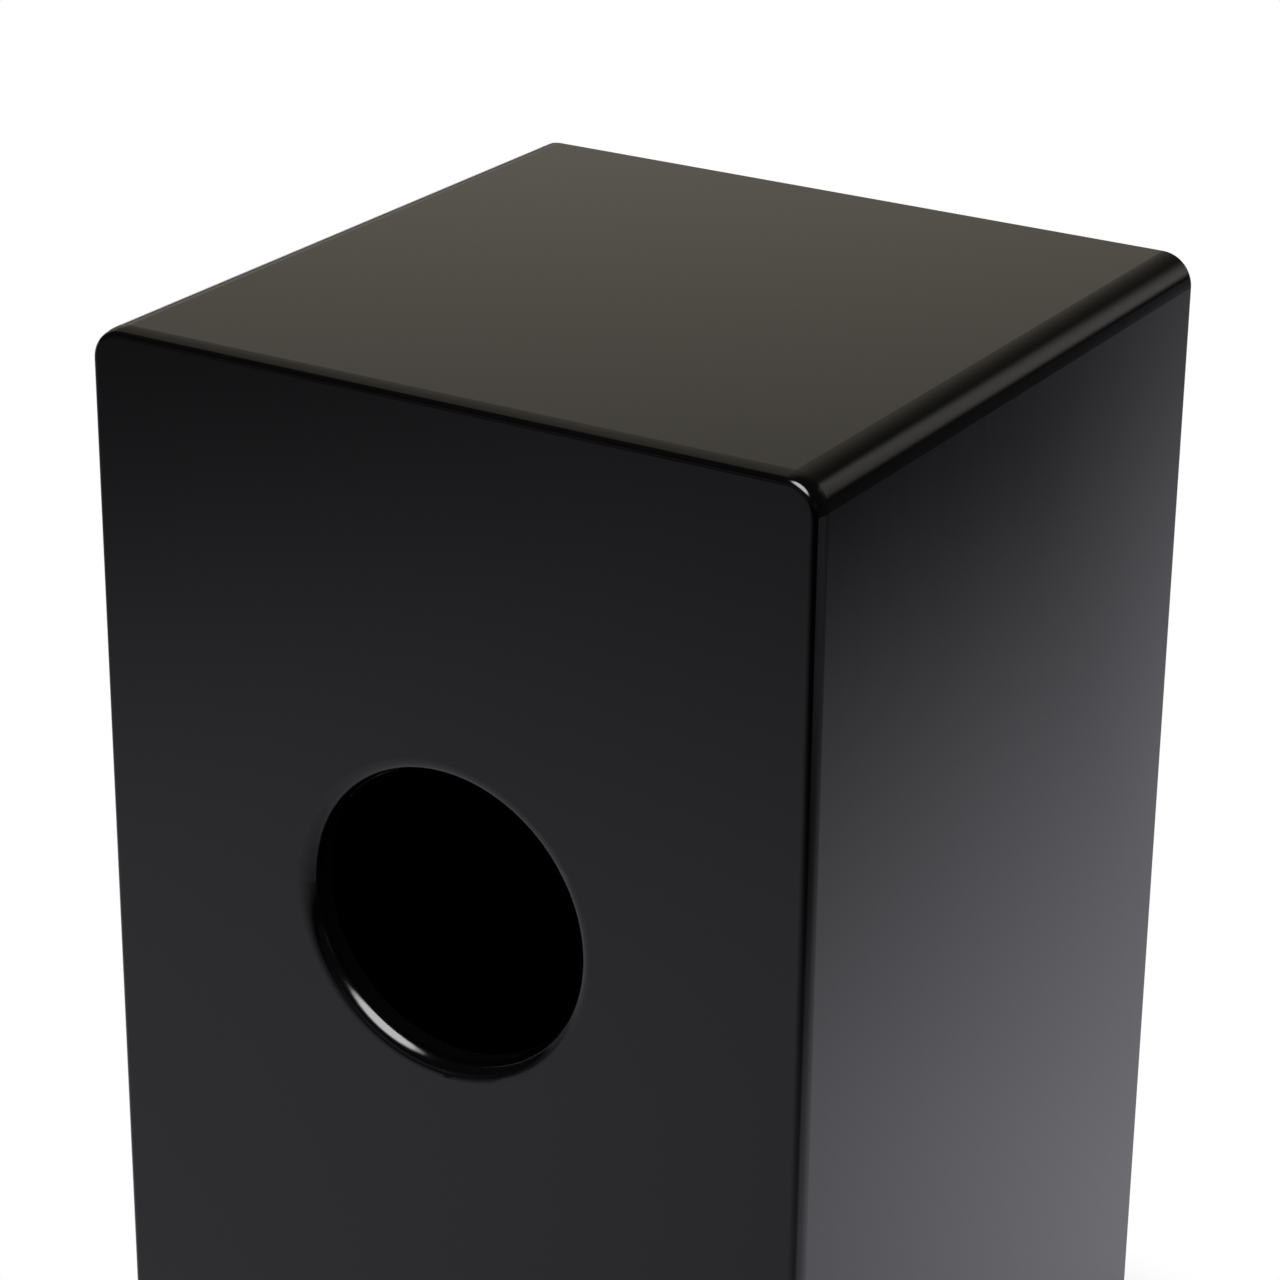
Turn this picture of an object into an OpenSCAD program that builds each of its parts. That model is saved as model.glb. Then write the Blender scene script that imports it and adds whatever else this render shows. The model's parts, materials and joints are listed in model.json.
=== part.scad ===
// Cajon: a box drum that the player sits on.
//
// A glued shell of seat, base and two sides, a rebated back panel with a round sound port, a thin
// screwed front plate that is struck, four rubber feet, and a snare mechanism inside: two sets of
// coiled wires on a turning bar, a hand lever that swings them off the front plate, and a split
// clamp that holds the bar where it is left.
//
// Frame: millimetres, +Z up, origin on the floor under the middle of the body. The front plate
// faces -Y, the sound port faces +Y, and left and right are as seen from the front.

/* [Body] */
// Width of the body across the front
body_w = 300; // [290:1:340]
// Depth of the body, front plate and back panel included
body_d = 297; // [280:1:340]
// Height of the seat above the floor
total_h = 480; // [460:1:520]
// Thickness of the seat, base and side panels
panel_t = 15; // [14:1:18]
// Radius of the four long edges that run from front to back
long_edge_r = 12.7; // [8:0.1:13]

/* [Back panel] */
// Full thickness of the back panel
back_t = 12; // [10:1:15]
// Depth of the step that locates the back panel inside the shell
back_rebate = 4; // [3:1:5]
// How far the eased edge round the back face reaches in over that face
back_edge_w = 3.2; // [3:0.1:5]
// How far forward of the back face that edge is eased
back_edge_h = 7.4; // [6:0.1:7.5]
// Tighter of that edge's two radii, next to the back face
back_edge_r = 2.5; // [1.5:0.1:2.9]
// Diameter of the sound port
port_d = 114.3; // [90:0.1:125]
// Radius of the rounded lip of the sound port
port_lip_r = 6.35; // [3:0.05:7]
// Depth of the port's centre below the seat
port_drop = 200; // [160:1:230]

/* [Front plate] */
// Thickness of the plywood front plate
plate_t = 3; // [2.5:0.5:4]
// Radius of the eased edge round the front plate
plate_edge_r = 1.5; // [0.5:0.1:2]
// Screws down each side of the front plate
side_screw_n = 6; // [4:1:8]
// Screws along the top and along the bottom of the front plate
end_screw_n = 4; // [2:1:6]

/* [Feet] */
// Height of each rubber foot
foot_h = 10; // [8:1:14]
// Diameter of a foot against the base
foot_d = 32; // [26:1:36]
// Distance from the body's outer faces to a foot's centre
foot_inset = 45; // [42:1:60]

/* [Snare mechanism] */
// Diameter of the turning wooden bar
bar_d = 22; // [20:1:26]
// Distance from the inside of the front plate to the bar's axis
bar_setback = 28; // [26:1:34]
// Depth of the bar's axis below the seat
bar_drop = 180; // [178:1:200]
// Coiled wires in each of the two sets
wire_n = 10; // [6:1:10]
// Free length of the coiled wires
wire_len = 150; // [110:1:155]
// Outer diameter of one coiled wire
wire_d = 2.2; // [1.6:0.1:2.6]
// Reach of the hand lever behind the bar
lever_reach = 105; // [70:1:110]

/* [Hidden] */
$fn = 96;

lacquer = [0.05, 0.05, 0.055];
birch = [0.80, 0.66, 0.46];
steel = [0.70, 0.71, 0.73];
black_steel = [0.12, 0.12, 0.13];
rubber = [0.08, 0.08, 0.08];
nylon = [0.18, 0.18, 0.19];

eps = 1;          // how far a cutter runs past the surface that it cuts
glue_gap = 0.05;  // room for glue, and between a screw and its hole
run_gap = 0.05;   // radial running clearance of what turns

half_w = body_w / 2;
front_y = -body_d / 2;
back_y = body_d / 2;
base_z = foot_h;
body_h = total_h - base_z;
inner_half_w = half_w - panel_t;
seat_z = total_h - panel_t;
floor_z = base_z + panel_t;
shell_front_y = front_y + plate_t;
shell_back_y = back_y - (back_t - back_rebate);
port_z = total_h - port_drop;

// Wood dowels in the seat and base joints
dowel_d = 8;
dowel_len = 30;
dowel_in_side = 8;
dowel_n = 4;
dowel_end = 35;  // from the shell's front and back edges to the end dowels

// Triangular glue blocks in the long inner corners
block_leg = 22;
block_end_gap = 6;

// Screws are [core diameter, head diameter, length]
plate_screw = [3.5, 7, 25];
foot_screw = [4, 8, 17];
bracket_screw = [3.5, 7, 14];
snare_screw = [2.5, 5, 8];
lever_screw = [3, 6, 8];
foot_head_h = 2.4;
screw_end = 28;  // from the body's top and bottom to the end screws of a side row
screw_row = 60;  // from the body's sides to the end screws of a top or bottom row

// Feet
foot_bottom_d = 27;
foot_bore_d = 13;
foot_floor_t = 4.5;  // rubber left above the washer
washer_t = 1;
foot_washer_z = foot_h - foot_floor_t - washer_t;

// Snare bar and its brackets
bar_y = shell_front_y + bar_setback;
bar_z = total_h - bar_drop;
pin_r = 4;
pin_in_bar = 20;
bar_end_gap = 0.5;
bracket_t = 5;
boss_r = 12;
ear_r = 8;
ear_reach = 17;   // from the bar's axis to each bracket screw
pivot_boss = 12;  // length of the plain bracket along the bar's axis
clamp_boss = 20;  // length of the split bracket along the bar's axis
bar_x = [-inner_half_w + pivot_boss + bar_end_gap, inner_half_w - clamp_boss - bar_end_gap];

// Split clamp: two lugs behind the boss, pulled together by a knob on a stud
lug_h = 9;  // from the bar's axis to the outer face of each lug
lug_end = 28;
lug_r = 4;
lug_slot = 2;
relief = 1;  // slit that frees the lugs from the bracket's foot
stud_r = 2.5;
stud_y = 20;  // from the bar's axis to the stud's axis
stud_past_nut = 1.5;
stud_in_knob = 9;
nut_af = 8;
nut_t = 4;
clamp_washer_d = 12;
knob_r = 9;
knob_h = 12;
knob_flute_n = 8;
knob_flute_r = 2.5;
stud_w = (bracket_t + relief + clamp_boss) / 2;  // from the side panel to the stud's axis

// Snare plates and wires, in the bar's own frame, whose -Y points at the front plate
flat_y = 8;  // from the bar's axis to each of its two flats
snare_plate_t = 1.2;
snare_plate_h = 14;
snare_plate_w = 62;
snare_plate_r = 2;
snare_plate_x = 45;
snare_screw_x = 26.5;
wire_pitch = 4.8;
wire_foot = 4;  // how far a wire reaches below the bar's axis
wire_gap = 0.3;  // room left between the wires and the front plate
wire_y = flat_y + snare_plate_t + glue_gap + wire_d / 2;

// The bar stands turned forward until the tips of the wires just clear the front plate
wire_front_y = wire_y + wire_d / 2;
lean = asin((bar_setback - wire_gap) / norm([wire_front_y, wire_len])) - atan2(wire_front_y, wire_len);

// Hand lever: a bent steel strip with a grip pushed over its end
lever_w = 14;
lever_t = 2.5;
lever_foot_w = 34;
lever_foot_h = 7;  // above the bar's axis
lever_bend_z = -1;  // where the strip starts to bend backwards
lever_bend_r = 3;  // inside radius of the bend
lever_screw_x = 12;
lever_screw_z = 2.5;
grip_len = 34;
grip_wall = 2.5;
grip_cap = 3;

// ---------------------------------------------------------------- shared shapes

function spread(n, from, to) = [for (i = [0:n - 1]) from + (to - from) * i / (n - 1)];

// Extrudes a profile drawn in X and Z along Y, from y0 to y1
module along_y(y0, y1) {
    translate([0, y1, 0])
        rotate([90, 0, 0])
            linear_extrude(y1 - y0)
                children();
}

// A quarter of a disc, in the +X +Y quadrant
module quarter(r) {
    intersection() {
        circle(r);
        square(r);
    }
}

// A rectangle from [0, 0] with rounded corners, where xs and ys name them: 0 for low, 1 for high
module rounded_rect(w, h, r, xs = [0, 1], ys = [0, 1]) {
    difference() {
        square([w, h]);
        for (ix = xs, iy = ys)
            translate([ix * (w - r), iy * (h - r)])
                square(r);
    }
    for (ix = xs, iy = ys)
        translate([ix ? w - r : r, iy ? h - r : r])
            mirror([1 - ix, 0])
                mirror([0, 1 - iy])
                    quarter(r);
}

// The outer part of an eased plate: a flat strip that ends in a quarter round
module round_rim(r, edge_r) {
    square([r - edge_r, edge_r]);
    translate([r - edge_r, 0])
        quarter(edge_r);
}

// The outer part of an eased plate: a flat strip that ends in an edge eased over edge_w by edge_h,
// with a wide arc up from the side that runs into an arc of radius tight_r
module worn_rim(r, edge_w, edge_h, tight_r) {
    rise = edge_h - tight_r;
    wide_r = (rise * rise + edge_w * edge_w - tight_r * tight_r) / (2 * (edge_w - tight_r));
    turn = atan2(rise, wide_r - edge_w);
    meet = [r - wide_r + wide_r * cos(turn), wide_r * sin(turn)];
    tight_centre = [r - edge_w, rise];
    polygon([[0, 0], [r, 0], meet, tight_centre, [r - edge_w, edge_h], [0, edge_h]]);
    intersection() {
        translate([r - wide_r, 0])
            circle(wide_r);
        polygon([[r, 0], meet, meet + [edge_w, 0], [r + edge_w, 0]]);
    }
    intersection() {
        translate(tight_centre)
            circle(tight_r);
        polygon([
            tight_centre,
            tight_centre + 2 * tight_r * [cos(turn), sin(turn)],
            tight_centre + 2 * tight_r * [1, 1],
            tight_centre + 2 * tight_r * [0, 1]
        ]);
    }
}

// A plate centred on XY, with corner radius r, whose upper rim is eased over its last rim_h of
// thickness, as the profile given as a child shows
module eased_plate(w, h, t, r, rim_h) {
    mid_x = w / 2 - r;
    mid_y = h / 2 - r;
    linear_extrude(t - rim_h)
        translate([-w / 2, -h / 2])
            rounded_rect(w, h, r);
    translate([0, 0, t - rim_h]) {
        translate([-mid_x, -mid_y, 0])
            cube([2 * mid_x, 2 * mid_y, rim_h]);
        for (ix = [0, 1])
            mirror([ix, 0, 0])
                translate([mid_x, mid_y, 0])
                    rotate([90, 0, 0])
                        linear_extrude(2 * mid_y)
                            children();
        for (iy = [0, 1])
            mirror([0, iy, 0])
                translate([-mid_x, mid_y, 0])
                    rotate([90, 0, 90])
                        linear_extrude(2 * mid_x)
                            children();
        for (ix = [0, 1], iy = [0, 1])
            mirror([ix, 0, 0])
                mirror([0, iy, 0])
                    translate([mid_x, mid_y, 0])
                        rotate_extrude(angle = 90)
                            children();
    }
}

// Stands a plate drawn on XY upright in the body, its upper face towards -Y, or +Y if back is true
module upright(y, back = false) {
    translate([0, y, base_z + body_h / 2])
        rotate([90, 0, back ? 180 : 0])
            children();
}

function sink_h(size) = (size[1] - size[0]) / 2;

// Two crossed slots at z = 0 that go down by depth
module cross_recess(size, depth) {
    slot_l = size[1] * 0.55;
    slot_w = size[0] * 0.25;
    for (turn = [0, 90])
        rotate(turn)
            translate([-slot_l / 2, -slot_w / 2, -depth])
                cube([slot_l, slot_w, depth + eps]);
}

// A countersunk screw that points down, with the top of its head at z = 0
module sunk_screw(size) {
    core_r = size[0] / 2;
    head_h = sink_h(size);
    difference() {
        union() {
            translate([0, 0, -head_h])
                cylinder(h = head_h, r1 = core_r, r2 = size[1] / 2);
            screw_core(size, head_h);
        }
        cross_recess(size, head_h * 0.8);
    }
}

// The core below the head, and its point
module screw_core(size, head_h) {
    core_r = size[0] / 2;
    translate([0, 0, -size[2]])
        cylinder(h = size[0], r1 = core_r / 4, r2 = core_r);
    translate([0, 0, -size[2] + size[0]])
        cylinder(h = size[2] - size[0] - head_h, r = core_r);
}

// The room that a countersunk screw needs
module sunk_hole(size) {
    core_r = size[0] / 2 + glue_gap;
    head_r = size[1] / 2 + glue_gap;
    translate([0, 0, -size[2] - glue_gap])
        cylinder(h = size[2] + eps, r = core_r);
    translate([0, 0, -sink_h(size)])
        cylinder(h = sink_h(size), r1 = core_r, r2 = head_r);
    cylinder(h = eps, r = head_r);
}

// ---------------------------------------------------------------- shell

module at_dowels(z) {
    for (side = [-1, 1], y = spread(dowel_n, shell_front_y + dowel_end, shell_back_y - dowel_end))
        translate([side * (inner_half_w + dowel_in_side), y, z])
            rotate([0, -side * 90, 0])
                children();
}

module dowels(z) {
    color(birch)
        at_dowels(z)
            cylinder(h = dowel_len, d = dowel_d);
}

module dowel_holes(z) {
    at_dowels(z)
        translate([0, 0, -glue_gap])
            cylinder(h = dowel_len + 2 * glue_gap, r = dowel_d / 2 + glue_gap);
}

module at_plate_screws() {
    for (side = [-1, 1], z = spread(side_screw_n, base_z + screw_end, total_h - screw_end))
        translate([side * (half_w - panel_t / 2), front_y, z])
            rotate([90, 0, 0])
                children();
    for (z = [base_z + panel_t / 2, total_h - panel_t / 2],
         x = spread(end_screw_n, -half_w + screw_row, half_w - screw_row))
        translate([x, front_y, z])
            rotate([90, 0, 0])
                children();
}

module plate_screw_holes() {
    at_plate_screws()
        sunk_hole(plate_screw);
}

module front_plate_screws() {
    color(black_steel)
        at_plate_screws()
            sunk_screw(plate_screw);
}

// The seat or the base, which stands between the side panels
module cross_panel(z) {
    difference() {
        translate([-inner_half_w, shell_front_y, z])
            cube([inner_half_w * 2, shell_back_y - shell_front_y, panel_t]);
        dowel_holes(z + panel_t / 2);
        plate_screw_holes();
    }
}

module seat_panel() {
    color(lacquer)
        cross_panel(seat_z);
}

module base_panel() {
    color(lacquer)
        difference() {
            cross_panel(base_z);
            at_feet()
                cylinder(h = foot_washer_z + foot_screw[2] + glue_gap, r = foot_screw[0] / 2 + glue_gap);
        }
}

// side is -1 for left and 1 for right
module side_panel(side) {
    color(lacquer)
        difference() {
            along_y(shell_front_y, shell_back_y)
                translate([side < 0 ? -half_w : inner_half_w, base_z])
                    rounded_rect(panel_t, body_h, long_edge_r, xs = [side < 0 ? 0 : 1]);
            dowel_holes(seat_z + panel_t / 2);
            dowel_holes(base_z + panel_t / 2);
            plate_screw_holes();
            bracket_screw_holes();
        }
}

module port_cutter() {
    port_r = port_d / 2;
    translate([0, 0, -eps])
        cylinder(h = back_t + 2 * eps, r = port_r);
    translate([0, 0, back_t - port_lip_r])
        rotate_extrude()
            difference() {
                square([port_r + port_lip_r, port_lip_r + eps]);
                translate([port_r + port_lip_r, 0])
                    circle(port_lip_r);
            }
}

// The rim is thinner than the middle, so that the middle drops into the shell
module back_panel() {
    plug_w = 2 * (inner_half_w - glue_gap);
    plug_h = seat_z - floor_z - 2 * glue_gap;
    color(lacquer)
        difference() {
            union() {
                upright(shell_back_y, back = true)
                    eased_plate(body_w, body_h, back_t - back_rebate, long_edge_r, back_edge_h)
                        worn_rim(long_edge_r, back_edge_w, back_edge_h, back_edge_r);
                translate([-plug_w / 2, back_y - back_t, floor_z + glue_gap])
                    cube([plug_w, back_rebate, plug_h]);
            }
            translate([0, back_y - back_t, port_z])
                rotate([-90, 0, 0])
                    port_cutter();
        }
}

module front_plate() {
    color(lacquer)
        difference() {
            upright(shell_front_y)
                eased_plate(body_w, body_h, plate_t, long_edge_r, plate_edge_r)
                    round_rim(long_edge_r, plate_edge_r);
            plate_screw_holes();
        }
}

// side is -1 for left and 1 for right, up is 1 under the seat and -1 over the base
module corner_block(side, up) {
    color(birch)
        along_y(shell_front_y + block_end_gap, back_y - back_t - block_end_gap)
            translate([side * inner_half_w, up > 0 ? seat_z : floor_z])
                polygon([[0, 0], [-side * block_leg, 0], [0, -up * block_leg]]);
}

// ---------------------------------------------------------------- feet

module at_foot(x, y) {
    translate([x * (half_w - foot_inset), y * (body_d / 2 - foot_inset), 0])
        children();
}

module at_feet() {
    for (x = [-1, 1], y = [-1, 1])
        at_foot(x, y)
            children();
}

module foot(x, y) {
    color(rubber)
        at_foot(x, y)
            difference() {
                cylinder(h = foot_h, d1 = foot_bottom_d, d2 = foot_d);
                translate([0, 0, -eps])
                    cylinder(h = foot_h - foot_floor_t + eps, d = foot_bore_d);
                cylinder(h = foot_h + eps, r = foot_screw[0] / 2 + glue_gap);
            }
}

module foot_washers() {
    color(steel)
        at_feet()
            translate([0, 0, foot_washer_z])
                ring(washer_t, foot_bore_d / 2 - 2 * glue_gap, foot_screw[0] / 2 + glue_gap);
}

module ring(h, outer_r, inner_r) {
    linear_extrude(h)
        difference() {
            circle(outer_r);
            circle(inner_r);
        }
}

// Pan heads, which bear on the washers; the screws point up
module foot_screws() {
    head_r = foot_screw[1] / 2;
    color(steel)
        at_feet()
            translate([0, 0, foot_washer_z])
                mirror([0, 0, 1])
                    difference() {
                        union() {
                            screw_core(foot_screw, 0);
                            cylinder(h = foot_head_h, r1 = head_r, r2 = head_r * 0.8);
                        }
                        translate([0, 0, foot_head_h])
                            cross_recess(foot_screw, foot_head_h * 0.6);
                    }
}

// ---------------------------------------------------------------- brackets and clamp

// Puts +Z along the bar's axis, from a side panel's inner face towards the middle
module at_bracket(side) {
    translate([side * inner_half_w, bar_y, bar_z])
        rotate([0, -side * 90, 0])
            children();
}

module at_bracket_screws() {
    for (side = [-1, 1], x = [-ear_reach, ear_reach])
        at_bracket(side)
            translate([x, 0, bracket_t])
                children();
}

module bracket_screw_holes() {
    at_bracket_screws()
        sunk_hole(bracket_screw);
}

module bracket_screws() {
    color(black_steel)
        at_bracket_screws()
            sunk_screw(bracket_screw);
}

// The foot that is screwed to a side panel, and the boss that carries a pivot pin
module bracket_blank(boss_h) {
    linear_extrude(bracket_t)
        translate([-ear_reach - ear_r, -ear_r])
            rounded_rect(2 * (ear_reach + ear_r), 2 * ear_r, ear_r * 0.9);
    cylinder(h = boss_h, r = boss_r);
}

module pin_bore(boss_h) {
    translate([0, 0, -eps])
        cylinder(h = boss_h + 2 * eps, r = pin_r + run_gap);
}

module pivot_bracket() {
    color(nylon)
        difference() {
            at_bracket(-1)
                difference() {
                    bracket_blank(pivot_boss);
                    pin_bore(pivot_boss);
                }
            bracket_screw_holes();
        }
}

module clamp_bracket() {
    color(nylon)
        difference() {
            at_bracket(1)
                difference() {
                    union() {
                        bracket_blank(clamp_boss);
                        translate([-lug_h, 0, bracket_t + relief])
                            linear_extrude(clamp_boss - bracket_t - relief)
                                rounded_rect(2 * lug_h, lug_end, lug_r, ys = [1]);
                    }
                    pin_bore(clamp_boss);
                    clamp_slits();
                }
            at_stud(-lug_h - eps)
                cylinder(h = 2 * (lug_h + eps), r = stud_r + glue_gap);
            bracket_screw_holes();
        }
}

// The slot between the lugs, and the slit that frees them from the bracket's foot
module clamp_slits() {
    translate([-lug_slot / 2, 0, bracket_t])
        cube([lug_slot, lug_end + eps, clamp_boss - bracket_t + eps]);
    translate([-boss_r - eps, 0, bracket_t])
        cube([2 * (boss_r + eps), boss_r + eps, relief]);
}

// Stands on the stud's axis, with z measured from the bar's axis
module at_stud(z) {
    translate([inner_half_w - stud_w, bar_y + stud_y, bar_z + z])
        children();
}

knob_z = -lug_h - washer_t - run_gap;  // top of the knob, from the bar's axis

module clamp_stud() {
    low_z = knob_z - stud_in_knob;
    color(steel)
        at_stud(low_z)
            cylinder(h = lug_h + nut_t + stud_past_nut - low_z, r = stud_r);
}

module clamp_nut() {
    color(steel)
        at_stud(lug_h)
            linear_extrude(nut_t)
                difference() {
                    circle(nut_af / 2 / cos(30), $fn = 6);
                    circle(stud_r + glue_gap);
                }
}

module clamp_washer() {
    color(steel)
        at_stud(-lug_h - washer_t)
            ring(washer_t, clamp_washer_d / 2, stud_r + glue_gap);
}

module clamp_knob() {
    color(nylon)
        at_stud(knob_z - knob_h)
            difference() {
                linear_extrude(knob_h)
                    difference() {
                        circle(knob_r);
                        for (i = [0:knob_flute_n - 1])
                            rotate(i * 360 / knob_flute_n)
                                translate([knob_r + knob_flute_r / 2, 0])
                                    circle(knob_flute_r);
                    }
                translate([0, 0, knob_h - stud_in_knob - glue_gap])
                    cylinder(h = stud_in_knob + eps, r = stud_r + run_gap);
            }
}

// ---------------------------------------------------------------- turning bar

// The bar's own frame, turned forward to where the wires meet the front plate
module at_bar() {
    translate([0, bar_y, bar_z])
        rotate([lean, 0, 0])
            children();
}

module at_snare_screws() {
    for (side = [-1, 1], x = [-snare_screw_x, snare_screw_x])
        translate([side * snare_plate_x + x, -flat_y - snare_plate_t, 0])
            rotate([90, 0, 0])
                children();
}

module at_lever_screws() {
    for (x = [-lever_screw_x, lever_screw_x])
        translate([x, flat_y + lever_t, lever_screw_z])
            rotate([-90, 0, 0])
                children();
}

module snare_bar() {
    color(birch)
        at_bar()
            difference() {
                translate([bar_x[0], 0, 0])
                    rotate([90, 0, 90])
                        linear_extrude(bar_x[1] - bar_x[0])
                            intersection() {
                                circle(d = bar_d);
                                square([2 * flat_y, bar_d + eps], center = true);
                            }
                for (i = [0, 1])
                    translate([bar_x[i], 0, 0])
                        rotate([0, i ? -90 : 90, 0])
                            translate([0, 0, -eps])
                                cylinder(h = pin_in_bar + glue_gap + eps, r = pin_r + glue_gap);
                at_snare_screws()
                    sunk_hole(snare_screw);
                at_lever_screws()
                    sunk_hole(lever_screw);
            }
}

module pivot_pins() {
    color(steel)
        at_bar()
            for (i = [0, 1]) {
                side = i ? 1 : -1;
                inner_x = side * bar_x[i] - pin_in_bar;
                translate([side * inner_x, 0, 0])
                    rotate([0, side * 90, 0])
                        cylinder(h = inner_half_w - bar_end_gap - inner_x, r = pin_r);
            }
}

module snare_plate(side) {
    color(steel)
        at_bar()
            difference() {
                along_y(-flat_y - snare_plate_t, -flat_y)
                    translate([side * snare_plate_x - snare_plate_w / 2, -snare_plate_h / 2])
                        rounded_rect(snare_plate_w, snare_plate_h, snare_plate_r);
                at_snare_screws()
                    sunk_hole(snare_screw);
            }
}

module snare_wires(side) {
    color(steel)
        at_bar()
            for (i = [0:wire_n - 1])
                translate([side * snare_plate_x + (i - (wire_n - 1) / 2) * wire_pitch, -wire_y, -wire_foot])
                    cylinder(h = wire_foot + wire_len, d = wire_d);
}

module snare_plate_screws() {
    color(steel)
        at_bar()
            at_snare_screws()
                sunk_screw(snare_screw);
}

// A strip that lies on the rear flat, bends backwards and runs towards the sound port
module snare_lever() {
    bend_y = flat_y + lever_t + lever_bend_r;
    color(steel)
        at_bar()
            difference() {
                union() {
                    translate([-lever_foot_w / 2, flat_y, lever_bend_z])
                        cube([lever_foot_w, lever_t, lever_foot_h - lever_bend_z]);
                    translate([0, bend_y, lever_bend_z])
                        rotate([0, -90, 0])
                            rotate_extrude(angle = 90, start = 180)
                                translate([lever_bend_r, -lever_w / 2])
                                    square([lever_t, lever_w]);
                    translate([-lever_w / 2, bend_y, lever_bend_z - lever_bend_r - lever_t])
                        cube([lever_w, flat_y + lever_reach - bend_y, lever_t]);
                }
                at_lever_screws()
                    sunk_hole(lever_screw);
            }
}

module lever_grip() {
    gap = glue_gap;
    outer = [lever_w + 2 * grip_wall, lever_t + 2 * grip_wall];
    pocket = [lever_w + 2 * gap, lever_t + 2 * gap];
    tip_y = flat_y + lever_reach;
    mid_z = lever_bend_z - lever_bend_r - lever_t / 2;
    color(rubber)
        at_bar()
            difference() {
                along_y(tip_y - grip_len, tip_y + grip_cap)
                    translate([-outer[0] / 2, mid_z - outer[1] / 2])
                        rounded_rect(outer[0], outer[1], outer[1] * 0.4);
                along_y(tip_y - grip_len - eps, tip_y + gap)
                    translate([-pocket[0] / 2, mid_z - pocket[1] / 2])
                        square(pocket);
            }
}

module lever_screws() {
    color(black_steel)
        at_bar()
            at_lever_screws()
                sunk_screw(lever_screw);
}

// ---------------------------------------------------------------- nodes

seat_panel();
base_panel();
side_panel(-1);  // left_side_panel
side_panel(1);  // right_side_panel
back_panel();
front_plate();
dowels(seat_z + panel_t / 2);  // seat_dowels
dowels(base_z + panel_t / 2);  // base_dowels
corner_block(-1, 1);  // seat_left_corner_block
corner_block(1, 1);  // seat_right_corner_block
corner_block(-1, -1);  // base_left_corner_block
corner_block(1, -1);  // base_right_corner_block
front_plate_screws();
foot(-1, -1);  // front_left_foot
foot(1, -1);  // front_right_foot
foot(-1, 1);  // rear_left_foot
foot(1, 1);  // rear_right_foot
foot_washers();
foot_screws();
pivot_bracket();
clamp_bracket();
bracket_screws();
clamp_stud();
clamp_nut();
clamp_washer();
clamp_knob();
snare_bar();
pivot_pins();
snare_plate(-1);  // left_snare_plate
snare_plate(1);  // right_snare_plate
snare_wires(-1);  // left_snare_wires
snare_wires(1);  // right_snare_wires
snare_plate_screws();
snare_lever();
lever_grip();
lever_screws();
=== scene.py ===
import json
import math

import bmesh
import bpy
from mathutils import Matrix, Quaternion, Vector


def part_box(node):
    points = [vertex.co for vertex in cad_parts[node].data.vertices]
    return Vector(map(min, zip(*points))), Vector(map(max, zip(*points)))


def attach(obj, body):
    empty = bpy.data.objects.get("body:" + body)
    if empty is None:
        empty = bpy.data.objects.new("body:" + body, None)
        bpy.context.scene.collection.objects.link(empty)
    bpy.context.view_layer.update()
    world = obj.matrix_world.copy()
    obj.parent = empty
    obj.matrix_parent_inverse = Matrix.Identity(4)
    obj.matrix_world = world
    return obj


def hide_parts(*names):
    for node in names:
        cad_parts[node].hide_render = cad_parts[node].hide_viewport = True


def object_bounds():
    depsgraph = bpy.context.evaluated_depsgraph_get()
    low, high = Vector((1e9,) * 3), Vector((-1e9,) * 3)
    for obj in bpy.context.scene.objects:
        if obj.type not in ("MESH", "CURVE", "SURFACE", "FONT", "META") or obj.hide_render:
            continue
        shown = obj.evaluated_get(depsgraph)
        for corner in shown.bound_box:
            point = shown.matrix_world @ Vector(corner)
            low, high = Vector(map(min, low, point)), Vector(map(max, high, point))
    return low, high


# A cajon seen from behind: the lacquered panels are the frame's own nodes, and every fitting is
# modelled here in millimetres, in its own axes, and then put where the frame says.

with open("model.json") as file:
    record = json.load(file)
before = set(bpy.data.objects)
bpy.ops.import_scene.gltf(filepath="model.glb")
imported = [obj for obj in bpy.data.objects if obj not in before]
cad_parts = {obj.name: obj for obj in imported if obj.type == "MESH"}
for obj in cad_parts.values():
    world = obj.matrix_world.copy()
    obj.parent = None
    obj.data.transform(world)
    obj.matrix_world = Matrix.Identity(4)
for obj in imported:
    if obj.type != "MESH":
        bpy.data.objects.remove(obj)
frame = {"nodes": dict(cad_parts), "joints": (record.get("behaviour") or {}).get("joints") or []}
CAD_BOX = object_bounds()
NODES = frame["nodes"]

MM = 0.001
SIDES = 48  # facets round a turned part
SHARP_ANGLE = math.radians(34)  # edges that bend more than this stay crisp
EASE_ANGLE = math.radians(40)  # edges that bend more than this are eased
EPS = 1.0  # how far a cutter runs past what it cuts

SHELL = "shell"
UNIT = "snare_unit"
KNOB = "clamp_knob"
PANELS = ("seat_panel", "base_panel", "left_side_panel", "right_side_panel", "back_panel", "front_plate")


def joint_pos(name):
    return Vector(next(joint["pos_m"] for joint in frame["joints"] if joint["name"] == name))


# ---------------------------------------------------------------- places, from the frame

BODY_LOW, BODY_HIGH = Vector(CAD_BOX[0]), Vector(CAD_BOX[1])
BASE_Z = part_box("base_panel")[0].z
INNER_HALF_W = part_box("seat_panel")[1].x
SHELL_FRONT_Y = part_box("front_plate")[1].y
SHELL_BACK_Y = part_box("seat_panel")[1].y
FLOOR_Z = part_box("base_panel")[1].z
SEAT_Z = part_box("seat_panel")[0].z
PLUG_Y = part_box("back_panel")[0].y
BAR_AXIS = joint_pos("snare_throw")
STUD_AXIS = joint_pos("clamp_knob_turn")

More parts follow.
